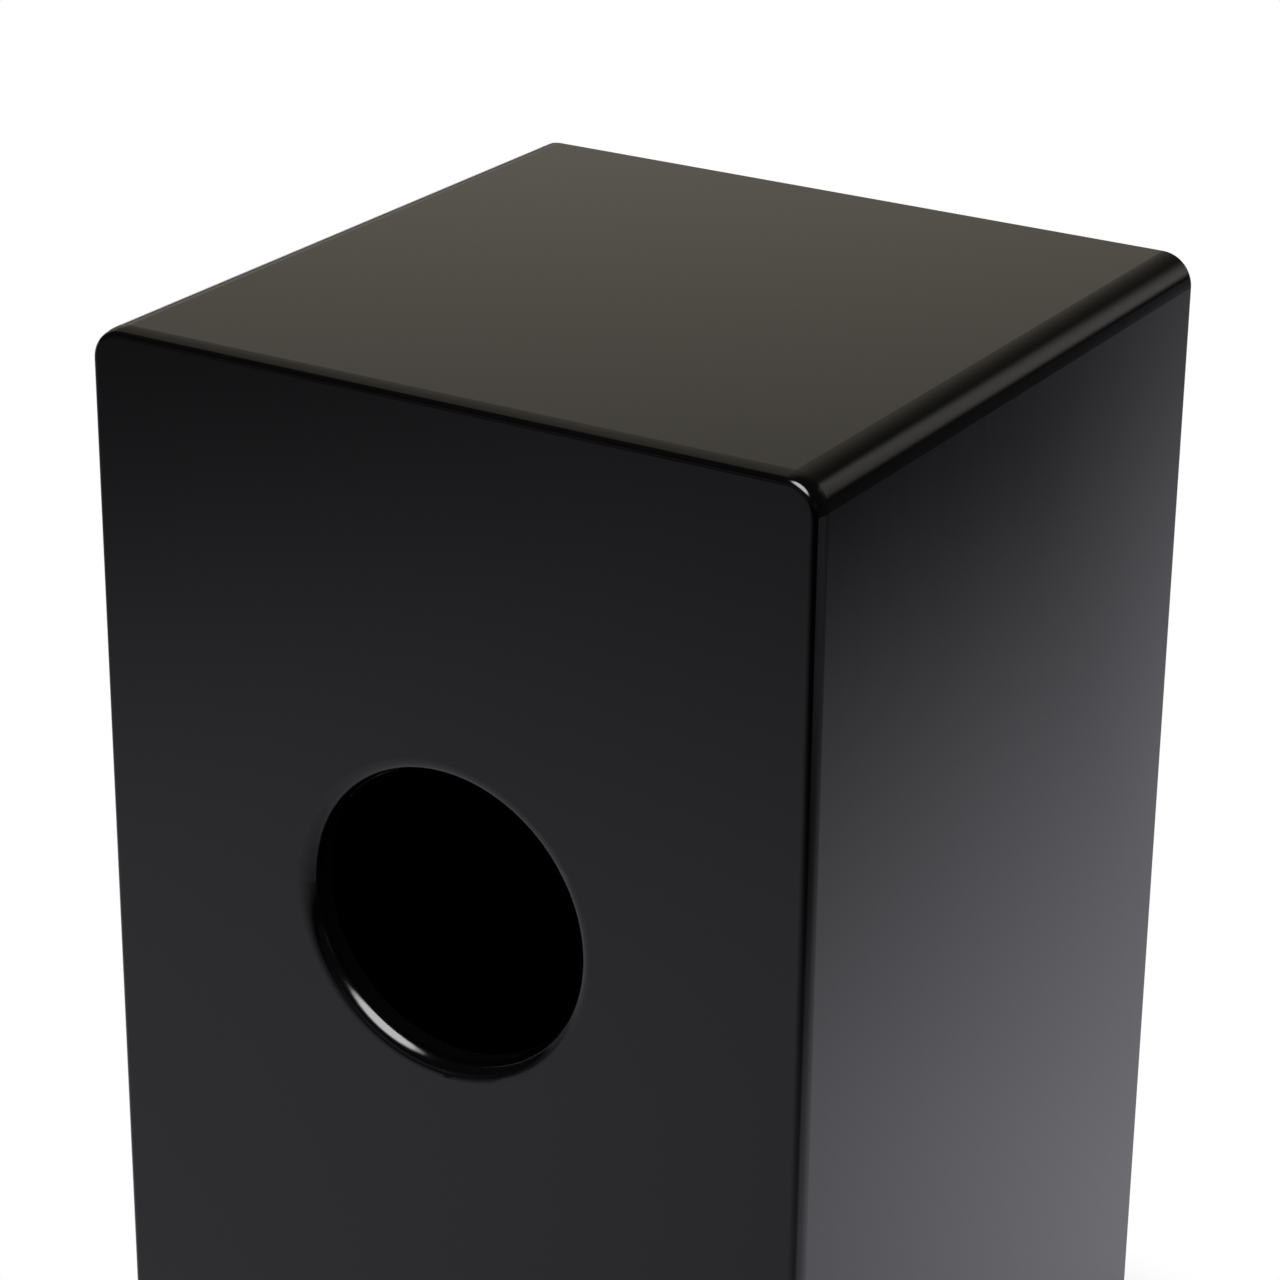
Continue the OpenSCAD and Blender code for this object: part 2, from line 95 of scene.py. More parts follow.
# Screws are (core radius, head radius, length, thread pitch, unthreaded shank)
PLATE_SCREW = (1.75, 3.5, 25.0, 1.7, 8.0)
FOOT_SCREW = (2.0, 4.0, 17.0, 1.8, 2.0)
BRACKET_SCREW = (1.75, 3.5, 14.0, 1.6, 3.0)
SNARE_SCREW = (1.25, 2.5, 8.0, 1.1, 1.8)
LEVER_SCREW = (1.5, 3.0, 8.0, 1.3, 2.2)
SCREW_PLAY = 0.05
PAN_HEAD_H = 2.4

# The painted shade of the hollow reaches this far along the port's wall
PORT_WALL = 5.65 * MM  # from the back panel's inner face to where the port's lip starts

SIDE_SCREWS = 6
END_SCREWS = 4
SIDE_ROW_END = 28 * MM  # from the body's top and bottom to a side row's end screws
END_ROW_END = 60 * MM  # from the body's sides to a top or bottom row's end screws
DOWELS = 4
DOWEL_END = 35 * MM
DOWEL_R, DOWEL_LEN, DOWEL_IN_SIDE = 4.0, 30.0, 8.0

BAR_R, BAR_FLAT = 11.0, 8.0
PIN_R, PIN_IN_BAR = 4.0, 20.0
PIN_CHAMFER = 0.4
PIN_GROOVE, PIN_GROOVE_DEPTH = (6.0, 8.0), 0.3  # where the glue groove starts and ends, and its depth
BAR_END_GAP = 0.5
PIVOT_BOSS, CLAMP_BOSS = 12.0, 20.0
BOSS_R, BRACKET_T, EAR_R, EAR_REACH = 12.0, 5.0, 8.0, 17.0
LUG_H, LUG_END, LUG_R, LUG_SLOT, RELIEF = 9.0, 28.0, 4.0, 2.0, 1.0
STUD_R, STUD_W, STUD_OUT = 2.5, 13.0, 20.0
STUD_PITCH, STUD_END, STUD_THREAD_DEPTH = 0.8, 0.6, 0.45
FOOT_WASHER_R, FOOT_WASHER_HOLE_R, CLAMP_WASHER_R, WASHER_T = 6.4, 2.05, 6.0, 1.0
KNOB_R, KNOB_FLUTES, KNOB_FLUTE_R, KNOB_BORE_DEPTH = 9.0, 8, 2.5, 9.05
SNARE_X, SNARE_W, SNARE_H, SNARE_T = 45.0, 62.0, 14.0, 1.2
SNARE_SCREW_X = 26.5
WIRES, WIRE_PITCH, WIRE_FOOT, WIRE_LEN, COIL_R = 10, 4.8, 4.0, 150.0, 1.1
WIRE_GAP, COIL_WIRE_R, COIL_PITCH = 0.05, 0.23, 1.3
BEAD_HALF, BEAD_SUNK, BEAD_Z = (1.75, 0.85, 2.6), 0.55, -1.0
STRIP_W, STRIP_T, STRIP_BEND_Z, STRIP_BEND_R, STRIP_REACH = 14.0, 2.5, -1.0, 3.0, 105.0
LEVER_SCREW_X, LEVER_SCREW_Z = 12.0, 2.5
LEVER_FOOT_HALF_W, LEVER_FOOT_TOP, LEVER_FOOT_R = 17.0, 7.0, 2.5
GRIP_WALLS, GRIP_R, GRIP_OVERLAP = 5.0, 3.0, 34.0  # two walls' thickness, its corners, what it covers


def bar_lean():
    """The angle that the bar stands turned forward at rest, until its wires nearly meet the plate."""
    setback = (BAR_AXIS.y - SHELL_FRONT_Y) / MM
    wire_gap = (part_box("left_snare_wires")[0].y - SHELL_FRONT_Y) / MM
    wire_front = BAR_FLAT + SNARE_T + WIRE_GAP + 2 * COIL_R
    reach = math.hypot(wire_front, WIRE_LEN)
    return math.asin((setback - wire_gap) / reach) - math.atan2(wire_front, WIRE_LEN)


def at(*position):
    """From a part's own millimetres to the frame's metres, with its origin at that position."""
    return Matrix.Translation(position) @ Matrix.Scale(MM, 4)


def shift(x, y, z):
    return Matrix.Translation((x, y, z))


def turn(degrees, axis):
    return Matrix.Rotation(math.radians(degrees), 4, axis)


AT_BAR = at(*BAR_AXIS) @ Matrix.Rotation(bar_lean(), 4, "X")
ALONG_X = Matrix(((0, 0, 1, 0), (1, 0, 0, 0), (0, 1, 0, 0), (0, 0, 0, 1)))  # own x, y, z along y, z, x
ALONG_Y = turn(90, "X")  # own x, y, z along x, z, -y


def spread(count, start, end):
    return [start + (end - start) * i / (count - 1) for i in range(count)]


# ---------------------------------------------------------------- mesh tools


def rounded(corners, steps=5):
    """A closed outline through (x, y, radius) corners, each rounded to its radius."""
    outline = []
    for i, (x, y, radius) in enumerate(corners):
        here = Vector((x, y))
        if radius == 0:
            outline.append(here)
            continue
        back = (Vector(corners[i - 1][:2]) - here).normalized()
        ahead = (Vector(corners[(i + 1) % len(corners)][:2]) - here).normalized()
        half = back.angle(ahead) / 2
        centre = here + (back + ahead).normalized() * radius / math.sin(half)
        start = here + back * radius / math.tan(half) - centre
        end = here + ahead * radius / math.tan(half) - centre
        sweep = math.atan2(start.cross(end), start.dot(end))
        outline += [centre + Matrix.Rotation(sweep * k / steps, 2) @ start for k in range(steps + 1)]
    return outline


def rectangle(low, high, radius, steps=5):
    (x0, y0), (x1, y1) = low, high
    return rounded([(x0, y0, radius), (x1, y0, radius), (x1, y1, radius), (x0, y1, radius)], steps)


def arc(centre, radius, start, end, steps):
    """Points on an arc, from start to end in degrees."""
    angles = [math.radians(start + (end - start) * i / steps) for i in range(steps + 1)]
    return [Vector((centre[0] + radius * math.cos(a), centre[1] + radius * math.sin(a))) for a in angles]


def skin(rings, closed=False, capped=True):
    """A bmesh over rings of points that all have the same number of points."""
    bm = bmesh.new()
    loops = [[bm.verts.new(point) for point in ring] for ring in rings]
    pairs = list(zip(loops, loops[1:]))
    if closed:
        pairs.append((loops[-1], loops[0]))
    for low, high in pairs:
        for i in range(len(low)):
            bm.faces.new((low[i - 1], low[i], high[i], high[i - 1]))
    if capped and not closed:
        bm.faces.new(loops[0])
        bm.faces.new(loops[-1])
    bmesh.ops.recalc_face_normals(bm, faces=bm.faces)
    return bm


def turned(profile, sides=SIDES, closed=False, reach=None):
    """(radius, height) points turned round Z. reach(radius, height, angle) may reshape the radius."""
    angles = [math.tau * i / sides for i in range(sides)]
    rings = []
    for radius, height in profile:
        radii = [reach(radius, height, a) if reach else radius for a in angles]
        rings.append([(r * math.cos(a), r * math.sin(a), height) for r, a in zip(radii, angles)])
    bm = skin(rings, closed=closed)
    bmesh.ops.remove_doubles(bm, verts=bm.verts, dist=1e-4)
    bmesh.ops.recalc_face_normals(bm, faces=bm.faces)
    return bm


def soften(bm, ease, segments=3):
    """Eases every edge that isn't part of a smooth round."""
    edges = [edge for edge in bm.edges if edge.calc_face_angle(0) > EASE_ANGLE]
    bmesh.ops.bevel(bm, geom=edges, offset=ease, segments=segments, profile=0.5, affect="EDGES",
                    clamp_overlap=True)
    return bm


def slab(outline, low, high, ease=0.0):
    """An outline in X and Y, extruded from low to high in Z, with its edges eased."""
    bm = skin([[(x, y, z) for x, y in outline] for z in (low, high)])
    return soften(bm, ease) if ease else bm


def tapered(outline, low, low_scale, high, high_scale):
    ends = ((low, low_scale), (high, high_scale))
    return skin([[(x * k, y * k, z) for x, y in outline] for z, k in ends])


def moved(bm, matrix):
    bm.transform(matrix)
    return bm


def gather(*blanks):
    """One bmesh of several, which are used up."""
    whole = bmesh.new()
    for bm in blanks:
        mesh = bpy.data.meshes.new("blank")
        bm.to_mesh(mesh)
        bm.free()
        whole.from_mesh(mesh)
        bpy.data.meshes.remove(mesh)
    return whole


def repeat(blank, matrices):
    """A copy of the blank at each matrix."""
    whole = gather(*(moved(blank.copy(), matrix) for matrix in matrices))
    blank.free()
    return whole


def combine(body, tool, operation="DIFFERENCE"):
    """The exact boolean of two bmeshes, which are used up."""
    objects = []
    for bm in (body, tool):
        mesh = bpy.data.meshes.new("blank")
        bm.to_mesh(mesh)
        bm.free()
        objects.append(bpy.data.objects.new("blank", mesh))
        bpy.context.scene.collection.objects.link(objects[-1])
    modifier = objects[0].modifiers.new("combine", "BOOLEAN")
    modifier.operation = operation
    modifier.solver = "EXACT"
    modifier.object = objects[1]
    made = bmesh.new()
    made.from_object(objects[0], bpy.context.evaluated_depsgraph_get())
    for obj in objects:
        mesh = obj.data
        bpy.data.objects.remove(obj)
        bpy.data.meshes.remove(mesh)
    return made


def add_piece(name, bm, matrix, body, look, nodes):
    """Turns a bmesh into a piece that stands for CAD nodes, with the look and slot of its material."""
    mesh = bpy.data.meshes.new(name)
    bm.to_mesh(mesh)
    bm.free()
    mesh.transform(matrix)
    mesh.materials.append(look)
    mesh.shade_smooth()
    mesh.set_sharp_from_angle(angle=SHARP_ANGLE)
    piece = bpy.data.objects.new(name, mesh)
    bpy.context.scene.collection.objects.link(piece)
    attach(piece, body)
    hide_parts(*nodes)
    return piece


# ---------------------------------------------------------------- material tools


def put(tree, kind, inputs=None, **settings):
    """A new node. Each input is a value or another node's output socket."""
    made = tree.nodes.new("ShaderNode" + kind)
    for name, value in settings.items():
        setattr(made, name, value)
    for key, value in (inputs or {}).items():
        if isinstance(value, bpy.types.NodeSocket):
            tree.links.new(value, made.inputs[key])
        else:
            made.inputs[key].default_value = value
    return made


def calc(tree, operation, *values):
    return put(tree, "Math", dict(enumerate(values)), operation=operation).outputs[0]


def vector_calc(tree, operation, *values, output="Vector"):
    return put(tree, "VectorMath", dict(enumerate(values)), operation=operation).outputs[output]


def ramp(tree, value, start, end, low=0.0, high=1.0, soft=True):
    """Goes from low to high as the value goes from start to end."""
    inputs = {"Value": value, "From Min": start, "From Max": end, "To Min": low, "To Max": high}
    kind = "SMOOTHSTEP" if soft else "LINEAR"
    return put(tree, "MapRange", inputs, interpolation_type=kind).outputs["Result"]


def blend(tree, share, first, second):
    inputs = {"Factor": share, 6: first, 7: second}
    return put(tree, "Mix", inputs, data_type="RGBA").outputs[2]


def noise(tree, place, scale, stretch=(1, 1, 1), detail=3.0, roughness=0.5, distortion=0.0):
    """Noise with that many features per metre, stretched by scaling its coordinates."""
    spot = vector_calc(tree, "MULTIPLY", place, stretch)
    inputs = {"Vector": spot, "Scale": scale, "Detail": detail, "Roughness": roughness,
              "Distortion": distortion}
    return put(tree, "TexNoise", inputs).outputs["Fac"]


def bumps(tree, *layers):
    """Stacks (height, strength, distance in metres) layers into one normal."""
    normal = None
    for height, strength, distance in layers:
        inputs = {"Height": height, "Strength": strength, "Distance": distance}
        if normal is not None:
            inputs["Normal"] = normal
        normal = put(tree, "Bump", inputs).outputs["Normal"]
    return normal


def start_look(name):
    """A blank material. Blender may number its name, so the name of its slot is kept with it."""
    look = bpy.data.materials.new(name)
    look["slot"] = name
    look.use_nodes = True
    look.node_tree.nodes.clear()
    tree = look.node_tree
    return look, tree, put(tree, "TexCoord").outputs["Object"]


def end_look(look, **inputs):
    """Closes the material with a surface whose inputs are given with _ for each space."""
    tree = look.node_tree
    surface = put(tree, "BsdfPrincipled", {key.replace("_", " "): value for key, value in inputs.items()})
    put(tree, "OutputMaterial", {"Surface": surface.outputs[0]})
    return look


# ---------------------------------------------------------------- materials


def inside_shell(tree, place):
    """1 on the surfaces of the hollow that the panels enclose and on the port's wall, and 0 outside. Where it
    is 1, the lacquer turns into black paint with painted shade.
    """
    skin_t = 0.5 * MM
    high = Vector((INNER_HALF_W + skin_t, PLUG_Y + PORT_WALL, SEAT_Z + skin_t))
    low = Vector((-INNER_HALF_W - skin_t, SHELL_FRONT_Y - skin_t, FLOOR_Z - skin_t))
    from_centre = vector_calc(tree, "SUBTRACT", place, (high + low) / 2)
    past = vector_calc(tree, "SUBTRACT", vector_calc(tree, "ABSOLUTE", from_centre), (high - low) / 2)
    x, y, z = put(tree, "SeparateXYZ", {0: past}).outputs
    return calc(tree, "LESS_THAN", calc(tree, "MAXIMUM", calc(tree, "MAXIMUM", x, y), z), 0.0)


def black_lacquer():
    """Satin lacquer outside, over a faint grain and sanding lines; inside, flat black paint whose colour is
    darkened and whose reflection is nearly turned off, which is painted shade on the hollow and the port's
    wall.
    """
    look, tree, place = start_look("black_lacquer")
    grain_scale, cloud_scale, peel_scale, nap_scale = 900, 14, 420, 2500
    inside = inside_shell(tree, place)
    facing = put(tree, "SeparateXYZ", {0: put(tree, "NewGeometry").outputs["Normal"]}).outputs["Z"]
    level = calc(tree, "GREATER_THAN", calc(tree, "ABSOLUTE", facing), 0.7)
    upright_lines = noise(tree, place, grain_scale, (1, 1, 0.02), detail=3)
    level_lines = noise(tree, place, grain_scale, (0.02, 1, 1), detail=3)
    lines = put(tree, "Mix", {"Factor": level, 2: upright_lines, 3: level_lines}).outputs[0]
    cloud = noise(tree, place, cloud_scale, detail=2)
    peel = noise(tree, place, peel_scale, detail=1)
    nap = noise(tree, place, nap_scale, detail=2)
    satin = calc(tree, "ADD", ramp(tree, cloud, 0.3, 0.7, 0.10, 0.115), ramp(tree, lines, 0.3, 0.7, 0, 0.025))
    tone = blend(tree, cloud, (0.0004, 0.0004, 0.0004, 1), (0.0008, 0.0008, 0.0009, 1))
    # Inside: black paint, made darker still as painted shade over the hollow and the port's wall
    black_paint_and_shade = blend(tree, nap, (0.0001, 0.0001, 0.0001, 1), (0.0004, 0.0004, 0.0004, 1))
    normal = bumps(tree, (peel, 0.05, 0.03 * MM), (lines, 0.04, 0.02 * MM))
    # Inside, the reflection drops nearly to nothing: painted shade that keeps the hollow and the port's wall
    # black
    return end_look(look, Base_Color=blend(tree, inside, tone, black_paint_and_shade), Normal=normal, IOR=1.5,
                    Specular_IOR_Level=ramp(tree, inside, 0, 1, 0.5, 0.02),
                    Roughness=calc(tree, "MAXIMUM", satin, calc(tree, "MULTIPLY", inside, 0.85)))


def wood(name, light, dark, along, ring_scale, rough=0.55):
    """Unfinished wood, with growth rings, flecks and pores stretched along its grain."""
    look, tree, place = start_look(name)
    stretch = tuple(0.07 if axis == along else 1.0 for axis in "XYZ")
    fine = tuple(0.03 if axis == along else 1.0 for axis in "XYZ")
    field = noise(tree, place, ring_scale, stretch, detail=3, distortion=0.6)
    rings = ramp(tree, calc(tree, "SINE", calc(tree, "MULTIPLY", field, 70.0)), -1, 1)
    pores = noise(tree, place, 1600, fine, detail=3)
    stain = noise(tree, place, 25, stretch, detail=2)
    depth = calc(tree, "ADD", calc(tree, "MULTIPLY", rings, 0.35), ramp(tree, pores, 0.45, 0.75, 0, 0.45))
    share = calc(tree, "ADD", depth, ramp(tree, stain, 0.3, 0.7, 0, 0.25))
    normal = bumps(tree, (pores, 0.35, 0.08 * MM), (rings, 0.1, 0.03 * MM))
    return end_look(look, Base_Color=blend(tree, share, light, dark), Normal=normal,
                    Roughness=ramp(tree, pores, 0.2, 0.8, rough - 0.08, rough + 0.12))


def bright_zinc():
    """Bright zinc plate: a bluish metal with soft blotches, fine brushing and dulled spots."""
    look, tree, place = start_look("steel")
    blotch = noise(tree, place, 260, detail=3)
    brushed = noise(tree, place, 3500, (1, 1, 0.05), detail=2)
    tone = blend(tree, blotch, (0.60, 0.61, 0.63, 1), (0.68, 0.68, 0.69, 1))
    dulled = ramp(tree, blotch, 0.3, 0.7, 0.27, 0.32)
    rough = calc(tree, "ADD", dulled, ramp(tree, brushed, 0.3, 0.7, 0, 0.06))
    return end_look(look, Base_Color=tone, Metallic=1.0, Roughness=rough,
                    Normal=bumps(tree, (brushed, 0.08, 0.01 * MM)))


def black_phosphate():
    """Black phosphate on steel: a dry, slightly mottled black that shines where it is handled."""
    look, tree, place = start_look("black_steel")
    mottle = noise(tree, place, 900, detail=4, roughness=0.6)
    grit = noise(tree, place, 6000, detail=2)
    tone = blend(tree, mottle, (0.012, 0.012, 0.014, 1), (0.045, 0.045, 0.05, 1))
    return end_look(look, Base_Color=tone, Metallic=0.6, Roughness=ramp(tree, mottle, 0.3, 0.7, 0.38, 0.6),
                    Normal=bumps(tree, (grit, 0.15, 0.02 * MM)))


def moulded_rubber():
    """Matt rubber with a fine bloom and a pebbled skin."""
    look, tree, place = start_look("black_rubber")
    pebble = noise(tree, place, 2200, detail=2)
    bloom = noise(tree, place, 90, detail=3)
    tone = blend(tree, bloom, (0.012, 0.012, 0.012, 1), (0.03, 0.029, 0.028, 1))
    return end_look(look, Base_Color=tone, Roughness=ramp(tree, bloom, 0.3, 0.7, 0.6, 0.78),
                    Normal=bumps(tree, (pebble, 0.3, 0.05 * MM)))


def moulded_nylon():
    """Glass-filled black nylon with a spark-eroded texture."""
    look, tree, place = start_look("nylon")
    grain = noise(tree, place, 3200, detail=3, roughness=0.6)
    flow = noise(tree, place, 120, detail=2, distortion=1.0)
    tone = blend(tree, flow, (0.016, 0.016, 0.018, 1), (0.03, 0.03, 0.033, 1))
    return end_look(look, Base_Color=tone, Roughness=ramp(tree, flow, 0.3, 0.7, 0.4, 0.5),
                    Normal=bumps(tree, (grain, 0.25, 0.03 * MM)))


# ---------------------------------------------------------------- screws

THREAD_ROWS = 8  # rings of points in one thread pitch
THREAD_SIDES = 20


def thread(pitch, depth):
    """A reach for turned(), which cuts a ridged helix whose crest is at the full radius."""
    def reach(radius, height, angle):
        ridge = max(0.0, 1 - 4 * abs((height / pitch - angle / math.tau) % 1 - 0.5))
        return radius - min(depth, radius / 2) * (1 - ridge)
    return reach


def plus(long, wide):
    """A cross outline whose arms have that half length and half width."""
    arm = [(long, wide), (wide, wide), (wide, long)]
    turns = [Matrix.Rotation(math.radians(90 * i), 2) for i in range(4)]
    return [rotation @ Vector(point) for rotation in turns for point in arm]


def threaded_core(size):
    """The pointed, threaded shank of a screw that points down, up to where its plain part starts."""
    core, _, length, pitch, shank = size
    point_h = 2 * core
    rows = math.ceil((length - shank - point_h) / pitch * THREAD_ROWS)
    tip = [(core * 0.06, -length)] + [(core * k / 5, -length + point_h * k / 5) for k in range(1, 5)]
    body = [(core, z) for z in spread(rows + 1, -length + point_h, -shank)]
    plain_from = -shank

    helix = thread(pitch, core * 0.3)

    def reach(radius, height, angle):
        return radius if height >= plain_from else helix(radius, height, angle)
    return tip + body, reach


def recess(size, top, depth):
    """The cutter for a crossed recess in a head whose top is at that height."""
    core, head = size[:2]
    return tapered(plus(head * 0.58, core * 0.26), top - depth, 0.45, top + 0.3, 1.06)


def sunk_screw(size):
    """A countersunk wood screw that points down, with the top of its head at 0."""
    core, head = size[:2]
    head_h = head - core
    profile, reach = threaded_core(size)
    profile += [(core, -head_h), (head - 0.12, -0.14), (head, -0.06), (head - 0.12, 0.0), (head * 0.75, 0.0)]
    return combine(turned(profile, THREAD_SIDES, reach=reach), recess(size, 0.0, head_h * 0.8))


def pan_screw(size, head_h):
    """A pan-head wood screw that points down, with the underside of its head at 0."""
    head = size[1]
    profile, reach = threaded_core(size)
    dome = arc((head - 1.5, head_h - 1.5), 1.5, 0, 80, 5)
    profile += [(size[0], -0.01), (head - 0.2, 0.0), (head, 0.2)] + [tuple(point) for point in dome]
    profile += [(head * 0.4, head_h)]
    return combine(turned(profile, 2 * THREAD_SIDES, reach=reach), recess(size, head_h, head_h * 0.6))


def sink_tool(size):
    """The cutter for a countersunk hole."""
    core, head, length = size[0] + SCREW_PLAY, size[1] + SCREW_PLAY, size[2]
    depth = size[1] - size[0]
    return turned([(core, -length - SCREW_PLAY), (core, -depth), (head, 0.0), (head, EPS)], THREAD_SIDES)


def bore_tool(radius, low, high, ease):
    """The cutter for a bore from low to high, with a chamfer at both mouths."""
    wide = radius + ease + EPS
    return turned([(wide, low - EPS), (radius, low + ease), (radius, high - ease), (wide, high + EPS)])


# ---------------------------------------------------------------- shell fittings


def plate_screw_places():
    """Where the front plate's screws go, their heads facing -Y."""
    low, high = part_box("front_plate_screws")
    head = PLATE_SCREW[1] * MM
    side_x = high.x - head
    end_z = (low.z + head, high.z - head)
    rows = [(x, z) for x in (-side_x, side_x)
            for z in spread(SIDE_SCREWS, BASE_Z + SIDE_ROW_END, BODY_HIGH.z - SIDE_ROW_END)]
    ends = [(x, z) for z in end_z
            for x in spread(END_SCREWS, BODY_LOW.x + END_ROW_END, BODY_HIGH.x - END_ROW_END)]
    return [at(x, BODY_LOW.y, z) @ ALONG_Y for x, z in rows + ends]


def add_plate_screws(look):
    """The recesses are turned a little differently on each screw, as a driver leaves them."""
    places = [place @ turn(37 * i, "Z") for i, place in enumerate(plate_screw_places())]
    screws = repeat(sunk_screw(PLATE_SCREW), places)
    add_piece("front_plate_screw_set", screws, Matrix(), SHELL, look, ["front_plate_screws"])


def fluted_dowel():
    """A dowel with chamfered ends and fine glue flutes."""
    flutes = 20
    ends = 1.0
    profile = [(DOWEL_R - ends, 0), (DOWEL_R, ends), (DOWEL_R, DOWEL_LEN - ends), (DOWEL_R - ends, DOWEL_LEN)]

    def reach(radius, height, angle):
        return radius - 0.25 * (0.5 - 0.5 * math.cos(flutes * angle))
    return turned(profile, flutes * 6, reach=reach)


def add_dowels(name, node, look):
    low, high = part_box(node)
    x = INNER_HALF_W + DOWEL_IN_SIDE * MM
    rows = spread(DOWELS, SHELL_FRONT_Y + DOWEL_END, SHELL_BACK_Y - DOWEL_END)
    places = [at(side * x, y, (low.z + high.z) / 2) @ turn(-side * 90, "Y") for side in (-1, 1) for y in rows]
    add_piece(name, repeat(fluted_dowel(), places), Matrix(), SHELL, look, [node])


def add_corner_block(node, side, up, look):
    """A sawn three-cornered glue block, its long edges slightly broken."""
    low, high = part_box(node)
    leg = (high.x - low.x) / MM
    corner = [(0, 0, 0.3), (-side * leg, 0, 0.8), (0, -up * leg, 0.8)]
    block = slab(rounded(corner, steps=3), 0, (high.y - low.y) / MM, ease=0.5)
    place = at(side * INNER_HALF_W, high.y, SEAT_Z if up > 0 else FLOOR_Z) @ ALONG_Y
    add_piece(node + "_timber", block, place, SHELL, look, [node])


def add_foot(node, look):
    """A tapered rubber foot with a screw recess and two grip rings moulded in its sole."""
    low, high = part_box(node)
    height = (high.z - low.z) / MM
    top_r = (high.x - low.x) / MM / 2
    bottom_r, recess_r, hole_r, recess_h = 13.5, 6.5, 2.05, 5.5
    groove_h, groove_w = 0.7, 0.5
    corners = [(hole_r, height, 0), (top_r, height, 0.35), (bottom_r, 0, 1.4)]
    for middle in (11.0, 8.9):
        corners += [(middle + groove_w, 0, 0.15), (middle + groove_w / 2, groove_h, 0.1),
                    (middle - groove_w / 2, groove_h, 0.1), (middle - groove_w, 0, 0.15)]
    corners += [(recess_r, 0, 0.5), (recess_r, recess_h, 0.4), (hole_r, recess_h, 0)]
    foot = turned(rounded(corners, steps=3), 96, closed=True)
    centre = (low + high) / 2
    add_piece(node + "_rubber", foot, at(centre.x, centre.y, 0), SHELL, look, [node])


def foot_places(node, height):
    """Above each foot's centre, from the box of the fittings that stand on them all."""
    low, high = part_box(node)
    radius = MM * (FOOT_WASHER_R if node == "foot_washers" else FOOT_SCREW[1])
    centres = [(x, y) for x in (low.x + radius, high.x - radius) for y in (low.y + radius, high.y - radius)]
    return [at(x, y, height) for x, y in centres]


def washer(inner, outer, thick):
    corners = [(inner, 0, 0.1), (outer, 0, 0.25), (outer, thick, 0.1), (inner, thick, 0.1)]
    return turned(rounded(corners, steps=3), closed=True)


def add_foot_fittings(look):
    low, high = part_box("foot_washers")
    washers = repeat(washer(FOOT_WASHER_HOLE_R, FOOT_WASHER_R, WASHER_T), foot_places("foot_washers", low.z))
    add_piece("foot_washer_set", washers, Matrix(), SHELL, look, ["foot_washers"])
    places = [place @ turn(180, "X") @ turn(25 * i, "Z")
              for i, place in enumerate(foot_places("foot_screws", low.z))]
    screws = repeat(pan_screw(FOOT_SCREW, PAN_HEAD_H), places)
    add_piece("foot_screw_set", screws, Matrix(), SHELL, look, ["foot_screws"])


# ---------------------------------------------------------------- brackets and clamp


def at_bracket(side):
    """+Z along the bar's axis, from a side panel's inner face towards the middle."""
    return at(side * INNER_HALF_W, BAR_AXIS.y, BAR_AXIS.z) @ turn(-side * 90, "Y")


def bracket_blank(boss_h):
    """The foot that is screwed to a side panel, joined to the boss that carries the pivot pin."""
    reach = EAR_REACH + EAR_R
    foot = slab(rectangle((-reach, -EAR_R), (reach, EAR_R), EAR_R * 0.9, 8), 0, BRACKET_T, ease=0.7)
    boss = turned(rounded([(0.01, 0, 0), (BOSS_R, 0, 0), (BOSS_R, boss_h, 1.0), (0.01, boss_h, 0)], 4))
    return combine(foot, boss, "UNION")


def bracket_cutters(boss_h):
    ears = [shift(x, 0, BRACKET_T) for x in (-EAR_REACH, EAR_REACH)]
    sinks = repeat(sink_tool(BRACKET_SCREW), ears)
    return gather(bore_tool(PIN_R + SCREW_PLAY, 0, boss_h, 0.4), sinks)


def add_pivot_bracket(look):
    bracket = combine(bracket_blank(PIVOT_BOSS), bracket_cutters(PIVOT_BOSS))
    add_piece("pivot_bracket_moulding", bracket, at_bracket(-1), SHELL, look, ["pivot_bracket"])


def add_clamp_bracket(look):
    """The boss is split by a slot between its two lugs and freed from the foot by a slit."""
    low = BRACKET_T + RELIEF
    outline = rounded([(-LUG_H, 0, 0), (LUG_H, 0, 0), (LUG_H, LUG_END, LUG_R), (-LUG_H, LUG_END, LUG_R)], 6)
    lugs = slab(outline, low, CLAMP_BOSS, ease=0.6)
    blank = combine(bracket_blank(CLAMP_BOSS), lugs, "UNION")
    slot_outline = rectangle((-LUG_SLOT / 2, 0), (LUG_SLOT / 2, LUG_END + EPS), 0.05, 1)
    slit_outline = rectangle((-BOSS_R - EPS, 0), (BOSS_R + EPS, BOSS_R + EPS), 0.05, 1)
    slot = slab(slot_outline, BRACKET_T, CLAMP_BOSS + EPS)
    slit = slab(slit_outline, BRACKET_T, low)
    stud_bore = moved(bore_tool(STUD_R + SCREW_PLAY, -LUG_H, LUG_H, 0.3),
                      shift(0, STUD_OUT, STUD_W) @ turn(90, "Y"))
    bracket = combine(blank, bracket_cutters(CLAMP_BOSS))
    for tool in (slot, slit, stud_bore):
        bracket = combine(bracket, tool)
    add_piece("clamp_bracket_moulding", bracket, at_bracket(1), SHELL, look, ["clamp_bracket"])


def add_bracket_screws(look):
    places = [at_bracket(side) @ shift(x, 0, BRACKET_T) @ turn(40 * side + x, "Z")
              for side in (-1, 1) for x in (-EAR_REACH, EAR_REACH)]
    screws = repeat(sunk_screw(BRACKET_SCREW), places)
    add_piece("bracket_screw_set", screws, Matrix(), SHELL, look, ["bracket_screws"])


def at_stud(node):
    """On the stud's axis, at the bottom of that node."""
    return at(STUD_AXIS.x, STUD_AXIS.y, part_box(node)[0].z)


